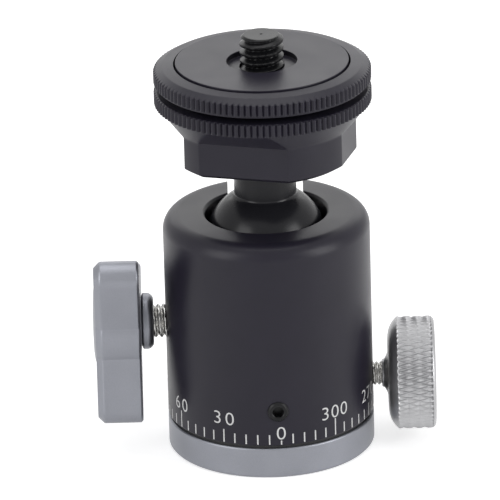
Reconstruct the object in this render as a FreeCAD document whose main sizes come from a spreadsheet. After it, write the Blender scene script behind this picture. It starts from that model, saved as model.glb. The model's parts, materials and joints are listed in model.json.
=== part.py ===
import FreeCAD, Part
import Sketcher
import math
import os

# Mini tripod ball head: panning base, turned housing, clamped ball and camera platform.
# Millimetres, +Z up, origin at the centre of the face that stands on the tripod.
# The two side knobs lie along X, the drop notch is at +Y and the zero mark at -Y.

SIZES = [
    ("base_radius", 15.0, "panning base, outside"),
    ("base_height", 4.6, "panning base plate"),
    ("base_edge", 0.35, "chamfer round the base plate"),
    ("thread_radius", 3.175, "quarter inch tripod thread"),
    ("bush_radius", 5.0, "steel thread bush"),
    ("bush_flange_radius", 6.2, "flange of the bush"),
    ("bush_flange_height", 1.2, "flange of the bush"),
    ("bush_length", 9.0, "thread bush, overall"),
    ("base_screw_circle", 8.1, "radius of the circle of base screws"),
    ("base_screw_radius", 0.9, "base screw shank"),
    ("base_screw_head", 1.65, "base screw head radius"),
    ("base_screw_head_height", 1.3, "base screw head"),
    ("base_screw_length", 7.0, "base screw, overall"),
    ("base_screw_count", 3.0, "base screws"),
    ("fixed_clearance", 0.02, "between pieces that are screwed together"),
    ("running_clearance", 0.06, "between pieces that turn or slide"),
    ("spindle_radius", 10.1, "panning spindle"),
    ("spindle_height", 8.1, "wide part of the spindle"),
    ("spindle_neck_radius", 3.5, "neck that the clip holds"),
    ("groove_depth", 1.1, "groove that the pan lock presses on"),
    ("groove_height", 4.4, "groove that the pan lock presses on"),
    ("washer_inner", 10.6, "thrust washer"),
    ("washer_outer", 14.5, "thrust washer"),
    ("washer_thickness", 0.36, "thrust washer"),
    ("body_radius", 15.0, "housing, outside"),
    ("body_height", 30.8, "housing without the base"),
    ("body_round", 2.4, "rounding of the housing's top edge"),
    ("body_foot_edge", 0.2, "chamfer of the housing's lower edge"),
    ("mouth_radius", 8.85, "mouth that holds the ball"),
    ("mouth_edge", 0.3, "chamfer of the mouth"),
    ("seat_bore", 9.3, "bore for the ball seat"),
    ("plug_height", 3.0, "threaded plug above the spindle"),
    ("notch_width", 11.0, "drop notch for the neck"),
    ("notch_floor", 27.0, "height of the notch's floor"),
    ("clip_thickness", 0.6, "retaining clip"),
    ("clip_reach", 1.1, "retaining clip beyond the neck"),
    ("clip_gap", 3.0, "opening of the retaining clip"),
    ("clip_seat", 0.5, "depth of the clip's groove"),
    ("spring_thickness", 0.35, "disc spring under the seat"),
    ("spring_slack", 0.2, "gap over the disc spring, room for the seat to drop"),
    ("spring_outer", 6.4, "disc spring, outer radius"),
    ("spring_inner", 4.8, "disc spring, bore radius"),
    ("ball_radius", 9.0, "ball"),
    ("ball_height", 30.8, "centre of the ball above the tripod face"),
    ("socket_clearance", 0.08, "between ball and housing"),
    ("seat_clearance", 0.12, "under the ball with the lock open"),
    ("seat_foot", 17.3, "underside of the ball seat"),
    ("seat_top", 26.5, "rim of the ball seat"),
    ("neck_radius", 4.5, "neck of the ball"),
    ("spigot_radius", 3.5, "spigot that the platform turns on"),
    ("spigot_height", 5.4, "spigot above the neck"),
    ("lock_height", 19.0, "axis of the ball lock"),
    ("lock_stud_radius", 2.5, "ball lock stud"),
    ("lock_stud_tip", 9.4, "inner end of the lock stud from the axis"),
    ("wedge_nose", 2.6, "nose of the wedge from the axis"),
    ("wedge_cone_length", 4.4, "cone of the wedge"),
    ("wedge_nose_radius", 0.5, "nose of the wedge"),
    ("wedge_radius", 2.4, "shank of the wedge"),
    ("lock_knob_inner", 18.6, "inner face of the lock knob from the axis"),
    ("lock_knob_width", 6.55, "lock knob along its axis"),
    ("lock_hub_radius", 7.3, "hub of the lock knob"),
    ("lock_wing_reach", 14.75, "wing tips of the lock knob from its axis"),
    ("lock_wing_half", 1.8, "half the width of a wing at its tip"),
    ("lock_wing_start", 4.0, "inner end of a wing from the knob's axis"),
    ("lock_wing_root", 5.2, "half the width of a wing at its inner end"),
    ("lock_tip_round", 2.35, "rounding of the wing tips"),
    ("lock_knob_edge", 0.9, "chamfer round the lock knob"),
    ("lock_wing_count", 3.0, "wings of the lock knob"),
    ("lock_wing_turn", 203.0, "lower wing, from straight up over the back, degrees"),
    ("lock_collar_radius", 4.1, "collar of the lock knob"),
    ("lock_collar_inner", 16.7, "inner face of the collar from the axis"),
    ("lock_collar_edge", 0.5, "rounding of the collar"),
    ("lock_collar_neck", 3.5, "neck between collar and wings"),
    ("lock_crown_radius", 6.0, "raised middle of the knob's outer face"),
    ("lock_crown_height", 0.4, "raised middle of the knob's outer face"),
    ("pan_height", 9.8, "axis of the pan lock"),
    ("pan_stud_radius", 1.75, "pan lock stud"),
    ("pan_pad_radius", 1.7, "brass pad of the pan lock"),
    ("pan_pad_length", 2.4, "brass pad of the pan lock"),
    ("pan_pad_gap", 0.25, "pad off the spindle with the lock open"),
    ("pan_hub_inner", 16.3, "inner face of the pan knob's hub from the axis"),
    ("pan_hub_radius", 2.05, "hub of the pan knob at its inner face"),
    ("pan_hub_root", 3.4, "hub of the pan knob where it meets the dish"),
    ("pan_knob_inner", 17.3, "inner face of the pan knob from the axis"),
    ("pan_knob_outer", 24.2, "outer face of the pan knob from the axis"),
    ("pan_knob_radius", 8.2, "pan knob"),
    ("pan_knob_dome", 1.2, "fall of the pan knob's faces to the rim"),
    ("pan_face_radius", 5.0, "flat middle of the pan knob's faces"),
    ("grub_height", 10.4, "axis of the friction screw"),
    ("grub_turn", 3.8, "friction screw from the front towards +X, degrees"),
    ("grub_radius", 1.5, "friction screw"),
    ("grub_tip_radius", 1.0, "dog point of the friction screw"),
    ("grub_tip_length", 1.4, "dog point of the friction screw"),
    ("grub_proud", 0.3, "friction screw proud of the housing"),
    ("grub_key", 0.75, "half the key size across flats"),
    ("grub_key_depth", 1.3, "hexagon socket"),
    ("block_bottom", 44.5, "underside of the platform block"),
    ("block_radius", 13.35, "turned corners of the block"),
    ("block_edge", 0.7, "height of the chamfer under the block"),
    ("block_edge_in", 1.1, "depth of the chamfer under the block"),
    ("front_flat", 11.6, "front flat of the block from the axis"),
    ("front_flat_turn", -105.0, "front flat's direction from +X towards the back, degrees"),
    ("left_flat", 11.5, "left flat of the block from the axis"),
    ("left_flat_turn", 180.0, "left flat's direction, degrees"),
    ("right_flat", 12.8, "right flat of the block from the axis"),
    ("right_flat_turn", -17.0, "right flat's direction, degrees"),
    ("back_flat", 11.6, "back flat of the block from the axis"),
    ("back_flat_turn", 90.0, "back flat's direction, degrees"),
    ("flat_line", 50.0, "height where a flat starts to slope out"),
    ("block_shoulder", 50.0, "end of the block's turned side, the rim flares out above it"),
    ("rim_radius", 15.7, "knurled rims, over the teeth"),
    ("rim_bottom", 53.0, "underside of the block's knurled rim"),
    ("rim_top", 54.76, "top of the block's knurled rim"),
    ("rim_lip", 0.35, "bevel beside the teeth"),
    ("column_radius", 10.0, "threaded column under the disc"),
    ("ring_bottom", 55.85, "underside of the lock ring"),
    ("ring_knurl_bottom", 56.2, "lower end of the lock ring's teeth"),
    ("ring_knurl_top", 57.85, "upper end of the lock ring's teeth"),
    ("ring_face_radius", 14.4, "outside of the lock ring's top face"),
    ("ring_top", 58.77, "top face of the lock ring"),
    ("disc_radius", 12.5, "top disc"),
    ("disc_gap", 0.2, "gap between disc and lock ring"),
    ("disc_bottom", 57.5, "underside of the top disc"),
    ("disc_top", 59.0, "top face of the disc, the camera's seat"),
    ("recess_radius", 5.1, "recess round the camera screw"),
    ("recess_depth", 0.8, "recess round the camera screw"),
    ("screw_top", 63.0, "end of the camera screw"),
    ("screw_edge", 0.6, "lead chamfer of the camera screw"),
    ("screw_root_radius", 2.7, "camera screw inside the block, where its thread is hidden"),
    ("screw_shank_radius", 2.4, "lower shank of the camera screw"),
    ("screw_shank_bottom", 43.0, "lower end of the camera screw"),
]

PLANE_XZ = "XZ_Plane"
PLANE_XY = "XY_Plane"

doc = FreeCAD.newDocument("BallHead")
sheet = doc.addObject("Spreadsheet::Sheet", "Sizes")


class Size:
    """A length with its value and the spreadsheet expression that gives it."""

    def __init__(self, value, text):
        self.value = value
        self.text = text

    @staticmethod
    def of(other):
        """Any number or Size as a Size."""
        return other if isinstance(other, Size) else Size(float(other), repr(float(other)))

    def __add__(self, other):
        other = Size.of(other)
        return Size(self.value + other.value, f"({self.text} + {other.text})")

    def __radd__(self, other):
        return Size.of(other) + self

    def __sub__(self, other):
        other = Size.of(other)
        return Size(self.value - other.value, f"({self.text} - {other.text})")

    def __rsub__(self, other):
        return Size.of(other) - self

    def __mul__(self, other):
        other = Size.of(other)
        return Size(self.value * other.value, f"({self.text} * {other.text})")

    def __rmul__(self, other):
        return Size.of(other) * self

    def __truediv__(self, other):
        other = Size.of(other)
        return Size(self.value / other.value, f"({self.text} / {other.text})")

    def __neg__(self):
        return Size(-self.value, f"(0 - {self.text})")


def fill_sheet():
    """Write the driving sizes into the sheet and give each its alias."""
    sizes = {}
    for row, (name, value, note) in enumerate(SIZES, start=1):
        sheet.set(f"A{row}", name)
        sheet.set(f"B{row}", str(value))
        sheet.set(f"C{row}", note)
        sheet.setAlias(f"B{row}", name)
        sizes[name] = Size(value, f"Sizes.{name}")
    doc.recompute()
    return sizes


size = fill_sheet()
parts = {}


def bind(thing, prop, amount):
    """Tie a property to the sheet; plain numbers are set as they are."""
    amount = Size.of(amount)
    thing.setExpression(prop, amount.text)


def place(thing, x=0.0, y=0.0, z=0.0, axis=None, angle=0.0):
    """Put an object at a point, turned about an axis, each number tied to the sheet."""
    turn = FreeCAD.Rotation()
    if axis:
        turn = FreeCAD.Rotation(FreeCAD.Vector(*axis), Size.of(angle).value)
    point = FreeCAD.Vector(Size.of(x).value, Size.of(y).value, Size.of(z).value)
    thing.Placement = FreeCAD.Placement(point, turn)
    for letter, amount in (("x", x), ("y", y), ("z", z)):
        if isinstance(amount, Size):
            bind(thing, f"Placement.Base.{letter}", amount)
    if isinstance(angle, Size):
        bind(thing, "Placement.Rotation.Angle", angle)
    return thing


def plane(body, role):
    """One of a body's own origin planes."""
    return next(item for item in body.Origin.OriginFeatures if item.Role == role)


def outline(body, name, role, points):
    """A closed sketch of straight lines through points of two Sizes or zeros."""
    sketch = body.newObject("Sketcher::SketchObject", name)
    sketch.AttachmentSupport = [(plane(body, role), "")]
    sketch.MapMode = "FlatFace"
    spots = [FreeCAD.Vector(Size.of(x).value, Size.of(y).value, 0) for x, y in points]
    count = len(spots)
    for i in range(count):
        sketch.addGeometry(Part.LineSegment(spots[i], spots[(i + 1) % count]), False)
    for i in range(count):
        sketch.addConstraint(Sketcher.Constraint("Coincident", i, 2, (i + 1) % count, 1))
    for i, (across, up) in enumerate(points):
        hold(sketch, "DistanceX", i, across, -2, f"x{i}")
        hold(sketch, "DistanceY", i, up, -1, f"y{i}")
    return sketch


def hold(sketch, kind, line, amount, axis_line, name):
    """Fix one coordinate of a line's start, by a bound distance or on an axis."""
    if not isinstance(amount, Size):
        sketch.addConstraint(Sketcher.Constraint("PointOnObject", line, 1, axis_line))
        return
    number = sketch.addConstraint(Sketcher.Constraint(kind, -1, 1, line, 1, amount.value))
    sketch.renameConstraint(number, name)
    bind(sketch, f"Constraints.{name}", amount)


def turned_body(name, profile):
    """A body turned about Z from a closed profile of (radius, height) pairs."""
    body = doc.addObject("PartDesign::Body", name)
    sketch = outline(body, name + "_profile", PLANE_XZ, profile)
    turn = body.newObject("PartDesign::Revolution", name + "_turn")
    turn.Profile = sketch
    turn.ReferenceAxis = (sketch, ["V_Axis"])
    turn.Angle = 360.0
    sketch.Visibility = False
    doc.recompute()
    return body


def fillet_edges(body, name, kind, amount, test):
    """Round or chamfer the edges of the body's tip that pass a test."""
    base = body.Tip
    edges = [f"Edge{i}" for i, edge in enumerate(base.Shape.Edges, start=1) if test(edge)]
    if not edges:
        raise RuntimeError(name + " found no edge")
    feature = body.newObject("PartDesign::" + kind, name)
    feature.Base = (base, edges)
    bind(feature, "Radius" if kind == "Fillet" else "Size", amount)
    doc.recompute()
    return feature


def ring_edge(radius, height):
    """A test for a full circle about Z of a given radius at a given height."""
    def test(edge):
        curve = edge.Curve
        if not isinstance(curve, Part.Circle):
            return False
        near = abs(curve.Radius - radius.value) < 1e-4
        return near and abs(curve.Center.z - height.value) < 1e-4
    return test


def cylinder(name, radius, height, **spot):
    """A cylinder along its own Z."""
    thing = doc.addObject("Part::Cylinder", name)
    bind(thing, "Radius", radius)
    bind(thing, "Height", height)
    return place(thing, **spot)


def cone(name, first, second, height, **spot):
    """A cone along its own Z."""
    thing = doc.addObject("Part::Cone", name)
    bind(thing, "Radius1", first)
    bind(thing, "Radius2", second)
    bind(thing, "Height", height)
    return place(thing, **spot)


def sphere(name, radius, **spot):
    """A whole ball."""
    thing = doc.addObject("Part::Sphere", name)
    bind(thing, "Radius", radius)
    return place(thing, **spot)


def box(name, length, width, height, **spot):
    """A block from its lowest corner."""
    thing = doc.addObject("Part::Box", name)
    bind(thing, "Length", length)
    bind(thing, "Width", width)
    bind(thing, "Height", height)
    return place(thing, **spot)


def fuse(name, things):
    """One solid from several."""
    joined = doc.addObject("Part::MultiFuse", name)
    joined.Shapes = things
    joined.Refine = True
    doc.recompute()
    return joined


def cut(name, base, tools):
    """A solid with tools taken out of it, checked to have lost volume."""
    tool = tools[0] if len(tools) == 1 else fuse(name + "_tools", tools)
    result = doc.addObject("Part::Cut", name)
    result.Base = base
    result.Tool = tool
    result.Refine = True
    doc.recompute()
    if result.Shape.Volume > base.Shape.Volume - 1e-3:
        raise RuntimeError(name + " lost nothing")
    return result


def keep(node, thing):
    """Name a finished object as a node."""
    thing.Label = node
    parts[node] = thing
    return thing


ALONG_X = {"axis": (0, 1, 0), "angle": 90.0}
ALONG_MINUS_X = {"axis": (0, 1, 0), "angle": -90.0}

# Heights and radii that follow from the sizes

gap_bottom = size["base_height"]
body_bottom = gap_bottom + size["washer_thickness"] + 2 * size["fixed_clearance"]
body_top = body_bottom + size["body_height"]
spindle_top = gap_bottom + size["spindle_height"]
chamber_radius = size["spindle_radius"] + size["running_clearance"]
plug_bottom = spindle_top + size["running_clearance"]
plug_top = plug_bottom + size["plug_height"]
clip_bottom = plug_top + size["running_clearance"]
neck_end = clip_bottom + size["clip_thickness"] + 0.4 * size["clip_thickness"]
socket_radius = size["ball_radius"] + size["socket_clearance"]
lip_bottom = size["ball_height"] - 10 * size["socket_clearance"]
stud_bore = size["lock_stud_radius"] + size["fixed_clearance"]


def make_base():
    """Plate, thread bush, spindle, screws and clip: everything that stays on the tripod."""
    bush_hole = size["bush_radius"] + size["fixed_clearance"]
    flange_hole = size["bush_flange_radius"] + size["fixed_clearance"]
    edge = size["base_edge"]
    plate = turned_body("PlateTurned", [
        (flange_hole, 0),
        (size["base_radius"] - edge, 0),
        (size["base_radius"], edge),
        (size["base_radius"], gap_bottom - edge / 2),
        (size["base_radius"] - edge / 2, gap_bottom),
        (bush_hole, gap_bottom),
        (bush_hole, size["bush_flange_height"]),
        (flange_hole, size["bush_flange_height"]),
    ])
    shank = size["base_screw_radius"] + size["fixed_clearance"]
    head = size["base_screw_head"] + size["fixed_clearance"]
    keep("base_plate", cut("Plate", plate, base_screw_set("PlateHoles", shank, head, gap_bottom, 0)))
    bush = turned_body("Bush", [
        (size["thread_radius"], 0),
        (size["bush_flange_radius"], 0),
        (size["bush_flange_radius"], size["bush_flange_height"] - size["fixed_clearance"]),
        (size["bush_radius"], size["bush_flange_height"] - size["fixed_clearance"]),
        (size["bush_radius"], size["bush_length"]),
        (size["thread_radius"], size["bush_length"]),
    ])
    keep("thread_bush", bush)
    bush_room = size["bush_length"] + size["fixed_clearance"]
    groove_low = (size["pan_height"] + size["grub_height"]) / 2 - size["groove_height"] / 2
    groove_high = groove_low + size["groove_height"]
    groove_radius = size["spindle_radius"] - size["groove_depth"]
    neck = size["spindle_neck_radius"]
    clip_root = neck - size["clip_seat"]
    clip_top = clip_bottom + size["clip_thickness"] + size["fixed_clearance"]
    spindle = turned_body("SpindleTurned", [
        (bush_hole, gap_bottom),
        (size["spindle_radius"], gap_bottom),
        (size["spindle_radius"], groove_low),
        (groove_radius, groove_low + size["groove_depth"] / 6),
        (groove_radius, groove_high - size["groove_depth"] / 6),
        (size["spindle_radius"], groove_high),
        (size["spindle_radius"], spindle_top),
        (neck, spindle_top),
        (neck, clip_bottom - size["fixed_clearance"]),
        (clip_root, clip_bottom - size["fixed_clearance"]),
        (clip_root, clip_top),
        (neck, clip_top),
        (neck, neck_end),
        (0, neck_end),
        (0, bush_room),
        (bush_hole, bush_room),
    ])
    tip = size["base_screw_length"] + size["fixed_clearance"]
    holes = base_screw_set("SpindleHoles", shank, None, tip, 0)
    keep("pan_spindle", cut("Spindle", spindle, holes))
    screws = base_screw_set("BaseScrew", size["base_screw_radius"], size["base_screw_head"],
                            size["base_screw_length"], size["fixed_clearance"])
    group = doc.addObject("Part::Compound", "BaseScrews")
    group.Links = screws
    doc.recompute()
    keep("base_screws", group)
    clip = turned_body("ClipTurned", [
        (clip_root + size["fixed_clearance"], clip_bottom),
        (neck + size["clip_reach"], clip_bottom),
        (neck + size["clip_reach"], clip_bottom + size["clip_thickness"]),
        (clip_root + size["fixed_clearance"], clip_bottom + size["clip_thickness"]),
    ])
    opening = box("ClipOpening", neck + size["clip_reach"] + 1, size["clip_gap"],
                  size["clip_thickness"] + 2, x=0.0, y=-size["clip_gap"] / 2, z=clip_bottom - 1)
    keep("retaining_clip", cut("Clip", clip, [opening]))


def base_screw_set(name, shank, head, top, inset):
    """The base screws, or the holes for them, each a shank with its head below."""
    things = []
    head_top = size["base_screw_head_height"]
    for i in range(round(size["base_screw_count"].value)):
        angle = 2 * math.pi * (i + 0.25) / round(size["base_screw_count"].value)
        x = size["base_screw_circle"] * math.cos(angle)
        y = size["base_screw_circle"] * math.sin(angle)
        low = Size.of(inset)
        body = cylinder(f"{name}Shank{i}", shank, Size.of(top) - low, x=x, y=y, z=low)
        if head is None:
            things.append(body)
            continue
        sink = head_top if inset else head_top + size["fixed_clearance"]
        knob = cylinder(f"{name}Head{i}", head, sink - low, x=x, y=y, z=low)
        whole = fuse(f"{name}Whole{i}", [body, knob])
        if inset:
            key = base_screw_key(f"{name}Key{i}", x, y, low)
            whole = cut(f"{name}Cut{i}", whole, [key])
        things.append(whole)
    return things


def base_screw_key(name, x, y, low):
    """The hexagon socket in a base screw's head."""
    key = doc.addObject("Part::Prism", name)
    key.Polygon = 6
    bind(key, "Circumradius", size["base_screw_head"] / 2)
    bind(key, "Height", size["base_screw_head_height"] / 2 + 1)
    return place(key, x=x, y=y, z=low - 1)


def make_housing():
    """The turned housing with its bores, notch and cross holes, and what is fixed in it."""
    top = body_top
    radius = size["body_radius"]
    foot = size["body_foot_edge"]
    edge = size["mouth_edge"]
    body = turned_body("HousingTurned", [
        (chamber_radius, body_bottom),
        (radius - foot, body_bottom),
        (radius, body_bottom + foot),
        (radius, top),
        (size["mouth_radius"] + edge, top),
        (size["mouth_radius"], top - edge),
        (size["mouth_radius"], lip_bottom),
        (size["seat_bore"], lip_bottom),
        (size["seat_bore"], plug_top),
        (chamber_radius, plug_top),
    ])
    fillet_edges(body, "HousingRound", "Fillet", size["body_round"], ring_edge(radius, top))
    socket = sphere("SocketBall", socket_radius, z=size["ball_height"])
    half = size["notch_width"] / 2
    slot_axis = size["notch_floor"] + half
    slot = box("NotchSlot", size["notch_width"], radius + 1, body_top - slot_axis + 1,
               x=-half, y=0.0, z=slot_axis)
    slot_end = cylinder("NotchEnd", half, radius + 1, y=0.0, z=slot_axis,
                        axis=(1, 0, 0), angle=-90.0)
    lock_bore = cylinder("LockBore", stud_bore, radius, z=size["lock_height"], **ALONG_MINUS_X)
    pan_bore = cylinder("PanBore", size["pan_stud_radius"] + size["fixed_clearance"], radius + 1,
                        z=size["pan_height"], **ALONG_X)
    grub_bore = friction_cylinder("GrubBore", size["grub_radius"] + size["fixed_clearance"],
                                  size["spindle_radius"] - 1, radius + 1)
    keep("housing", cut("Housing", body, [socket, slot, slot_end, lock_bore, pan_bore, grub_bore]))
    washer_low = gap_bottom + size["fixed_clearance"]
    keep("thrust_washer", turned_body("Washer", [
        (size["washer_inner"], washer_low),
        (size["washer_outer"], washer_low),
        (size["washer_outer"], washer_low + size["washer_thickness"]),
        (size["washer_inner"], washer_low + size["washer_thickness"]),
    ]))
    bearing = size["spindle_neck_radius"] + size["running_clearance"]
    plug_radius = chamber_radius - size["fixed_clearance"]
    keep("body_plug", turned_body("Plug", [
        (bearing, plug_bottom),
        (plug_radius, plug_bottom),
        (plug_radius, plug_top - size["fixed_clearance"]),
        (bearing, plug_top - size["fixed_clearance"]),
    ]))
    spring_low = plug_top
    spring_high = size["seat_foot"] - size["spring_slack"] - size["spring_thickness"]
    keep("disc_spring", turned_body("Spring", [
        (size["spring_outer"], spring_low),
        (size["spring_outer"], spring_low + size["spring_thickness"]),
        (size["spring_inner"], spring_high + size["spring_thickness"]),
        (size["spring_inner"], spring_high),
    ]))
    make_friction_screw()


def friction_cylinder(name, radius, start, end):
    """A cylinder on the friction screw's axis between two distances from the centre."""
    turn = math.radians(size["grub_turn"].value)
    ray = FreeCAD.Vector(math.sin(turn), -math.cos(turn), 0)
    thing = doc.addObject("Part::Cylinder", name)
    bind(thing, "Radius", radius)
    bind(thing, "Height", end - start)
    point = FreeCAD.Vector(ray.x * start.value, ray.y * start.value, size["grub_height"].value)
    thing.Placement = FreeCAD.Placement(point, FreeCAD.Rotation(FreeCAD.Vector(0, 0, 1), ray))
    bind(thing, "Placement.Base.x", start * ray.x)
    bind(thing, "Placement.Base.y", start * ray.y)
    bind(thing, "Placement.Base.z", size["grub_height"])
    return thing


def make_friction_screw():
    """The set screw at the front, with a dog point in the spindle's groove."""
    outer = size["body_radius"] + size["grub_proud"]
    tip = size["spindle_radius"] - size["groove_depth"] + size["pan_pad_gap"]
    shoulder = tip + size["grub_tip_length"]
    shank = friction_cylinder("GrubShank", size["grub_radius"], shoulder, outer)
    dog = friction_cylinder("GrubDog", size["grub_tip_radius"], tip, shoulder)
    whole = fuse("GrubWhole", [shank, dog])
    turn = math.radians(size["grub_turn"].value)
    ray = FreeCAD.Vector(math.sin(turn), -math.cos(turn), 0)
    socket = doc.addObject("Part::Prism", "GrubSocket")
    socket.Polygon = 6
    bind(socket, "Circumradius", size["grub_key"] / math.cos(math.pi / 6))
    bind(socket, "Height", size["grub_key_depth"] + 1)
    start = outer - size["grub_key_depth"]
    point = FreeCAD.Vector(ray.x * start.value, ray.y * start.value, size["grub_height"].value)
    socket.Placement = FreeCAD.Placement(point, FreeCAD.Rotation(FreeCAD.Vector(0, 0, 1), ray))
    bind(socket, "Placement.Base.x", start * ray.x)
    bind(socket, "Placement.Base.y", start * ray.y)
    bind(socket, "Placement.Base.z", size["grub_height"])
    keep("friction_screw", cut("Grub", whole, [socket]))


def make_ball_lock():
    """Wedge, seat, stud and three-winged knob on the -X side."""
    wedge_end = size["lock_stud_tip"] - size["fixed_clearance"]
    cone_start = size["wedge_nose"] + size["wedge_cone_length"]
    nose = cone("WedgeNose", size["wedge_nose_radius"], size["wedge_radius"],
                size["wedge_cone_length"], x=-size["wedge_nose"], z=size["lock_height"],
                **ALONG_MINUS_X)
    shank = cylinder("WedgeShank", size["wedge_radius"], wedge_end - cone_start,
                     x=-cone_start, z=size["lock_height"], **ALONG_MINUS_X)
    keep("lock_wedge", fuse("Wedge", [nose, shank]))
    make_seat(cone_start)
    inner = size["lock_knob_inner"]
    stud = cylinder("LockStudBar", size["lock_stud_radius"],
                    inner + size["lock_knob_width"] / 2 - size["lock_stud_tip"],
                    x=-size["lock_stud_tip"], z=size["lock_height"], **ALONG_MINUS_X)
    keep("lock_stud", stud)
    knob = winged_knob(inner)
    hole = cylinder("KnobStudHole", stud_bore, size["lock_knob_width"] / 2 + 5,
                    x=-(inner - 5), z=size["lock_height"], **ALONG_MINUS_X)
    keep("lock_knob", cut("LockKnob", knob, [hole]))


def make_seat(cone_start):
    """The cup under the ball, with the tapered bore that rests on the wedge."""
    radius = size["seat_bore"] - size["running_clearance"]
    cup = cylinder("SeatBlank", radius, size["seat_top"] - size["seat_foot"], z=size["seat_foot"])
    pocket = sphere("SeatPocket", size["ball_radius"] + size["seat_clearance"],
                    z=size["ball_height"])
    room = 5 * size["running_clearance"]
    axis = size["lock_height"] - room + size["running_clearance"] / 2
    nose_radius = size["wedge_nose_radius"] + room
    nose = cylinder("SeatNose", nose_radius, 3 * room, x=-(size["wedge_nose"] - 2 * room),
                    z=axis, **ALONG_MINUS_X)
    taper = cone("SeatTaper", nose_radius, size["wedge_radius"] + room,
                 size["wedge_cone_length"], x=-size["wedge_nose"], z=axis, **ALONG_MINUS_X)
    mouth = cylinder("SeatMouth", size["wedge_radius"] + room + size["spring_slack"], radius,
                     x=-cone_start, z=axis, **ALONG_MINUS_X)
    keep("ball_seat", cut("Seat", cup, [pocket, nose, taper, mouth]))


def winged_knob(inner):
    """Hub with three wings padded along the knob's axis, chamfered on the outer face."""
    body = doc.addObject("PartDesign::Body", "WingedKnob")
    hub = body.newObject("Sketcher::SketchObject", "HubCircle")
    hub.AttachmentSupport = [(plane(body, PLANE_XY), "")]
    hub.MapMode = "FlatFace"
    circle = Part.Circle(FreeCAD.Vector(), FreeCAD.Vector(0, 0, 1), size["lock_hub_radius"].value)
    hub.addGeometry(circle, False)
    hub.addConstraint(Sketcher.Constraint("Coincident", 0, 3, -1, 1))
    number = hub.addConstraint(Sketcher.Constraint("Radius", 0, size["lock_hub_radius"].value))
    hub.renameConstraint(number, "hub")
    bind(hub, "Constraints.hub", size["lock_hub_radius"])
    pad = body.newObject("PartDesign::Pad", "HubPad")
    pad.Profile = hub
    bind(pad, "Length", size["lock_knob_width"])
    hub.Visibility = False
    doc.recompute()
    wing = outline(body, "WingOutline", PLANE_XY, [
        (size["lock_wing_start"], -size["lock_wing_root"]),
        (size["lock_wing_reach"], -size["lock_wing_half"]),
        (size["lock_wing_reach"], size["lock_wing_half"]),
        (size["lock_wing_start"], size["lock_wing_root"]),
    ])
    wing_pad = body.newObject("PartDesign::Pad", "WingPad")
    wing_pad.Profile = wing
    bind(wing_pad, "Length", size["lock_knob_width"])
    wing.Visibility = False
    doc.recompute()
    ring = body.newObject("PartDesign::PolarPattern", "Wings")
    ring.Originals = [wing_pad]
    ring.Axis = (hub, ["N_Axis"])
    ring.Angle = 360.0
    ring.Occurrences = round(size["lock_wing_count"].value)
    body.Tip = ring
    doc.recompute()
    reach = size["lock_wing_reach"].value
    top = size["lock_knob_width"].value

    def on_tip(edge):
        ends = [vertex.Point for vertex in edge.Vertexes]
        upright = len(ends) == 2 and abs(ends[0].z - ends[1].z) > top - 1e-3
        return upright and math.hypot(ends[0].x, ends[0].y) > reach

    def on_outer_face(edge):
        return all(abs(vertex.Point.z - top) < 1e-4 for vertex in edge.Vertexes)

    fillet_edges(body, "TipRound", "Fillet", size["lock_tip_round"], on_tip)
    fillet_edges(body, "KnobEdge", "Chamfer", size["lock_knob_edge"], on_outer_face)
    turn = FreeCAD.Rotation(FreeCAD.Vector(0, 1, 0), -90.0)
    lean = FreeCAD.Rotation(FreeCAD.Vector(0, 0, 1), size["lock_wing_turn"].value)
    body.Placement = FreeCAD.Placement(
        FreeCAD.Vector(-inner.value, 0, size["lock_height"].value), turn * lean)
    bind(body, "Placement.Base.x", -inner)
    bind(body, "Placement.Base.z", size["lock_height"])
    full = inner - size["lock_collar_inner"]
    edge = size["lock_collar_edge"]
    neck = size["lock_collar_neck"]
    collar = turned_body("CollarTurned", [
        (0, 0),
        (size["lock_collar_radius"] - edge, 0),
        (size["lock_collar_radius"], edge),
        (size["lock_collar_radius"], full - 1.2 * edge),
        (neck, full - 0.6 * edge),
        (neck, full),
        (0, full),
    ])
    place(collar, x=-size["lock_collar_inner"], z=size["lock_height"], **ALONG_MINUS_X)
    crown_start = inner + size["lock_knob_width"]
    crown = cone("KnobCrown", size["lock_crown_radius"],
                 size["lock_crown_radius"] - 2 * size["lock_crown_height"],
                 size["lock_crown_height"], x=-crown_start, z=size["lock_height"],
                 **ALONG_MINUS_X)
    return fuse("KnobWhole", [body, collar, crown])


def make_pan_lock():
    """Brass pad, stud and round knurled knob on the +X side."""
    pad_start = size["spindle_radius"] - size["groove_depth"] + size["pan_pad_gap"]
    stud_start = pad_start + size["pan_pad_length"]
    keep("pan_lock_pad", cylinder("PanPad", size["pan_pad_radius"],
                                  size["pan_pad_length"] - size["fixed_clearance"],
                                  x=pad_start, z=size["pan_height"], **ALONG_X))
    middle = (size["pan_knob_inner"] + size["pan_knob_outer"]) / 2
    keep("pan_lock_stud", cylinder("PanStud", size["pan_stud_radius"], middle - stud_start,
                                   x=stud_start, z=size["pan_height"], **ALONG_X))
    hub = size["pan_hub_inner"]
    face = size["pan_knob_inner"] - hub
    back = size["pan_knob_outer"] - hub
    dome = size["pan_knob_dome"]
    reach = size["pan_knob_radius"]
    middle_radius = size["pan_face_radius"]
    shoulder = (middle_radius + reach) / 2 + dome / 2
    knob = turned_body("PanKnobTurned", [
        (0, 0),
        (size["pan_hub_radius"], 0),
        (size["pan_hub_root"], face),
        (middle_radius, face + dome / 8),
        (shoulder, face + dome / 2),
        (reach, face + dome),
        (reach, back - dome / 2),
        (reach - dome / 4, back - dome / 4),
        (reach - dome, back),
        (0, back),
    ])
    place(knob, x=hub, z=size["pan_height"], **ALONG_X)
    hole = cylinder("PanKnobHole", size["pan_stud_radius"] + size["fixed_clearance"],
                    middle - hub + 1, x=hub - 1, z=size["pan_height"], **ALONG_X)
    keep("pan_lock_knob", cut("PanKnob", knob, [hole]))


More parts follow.
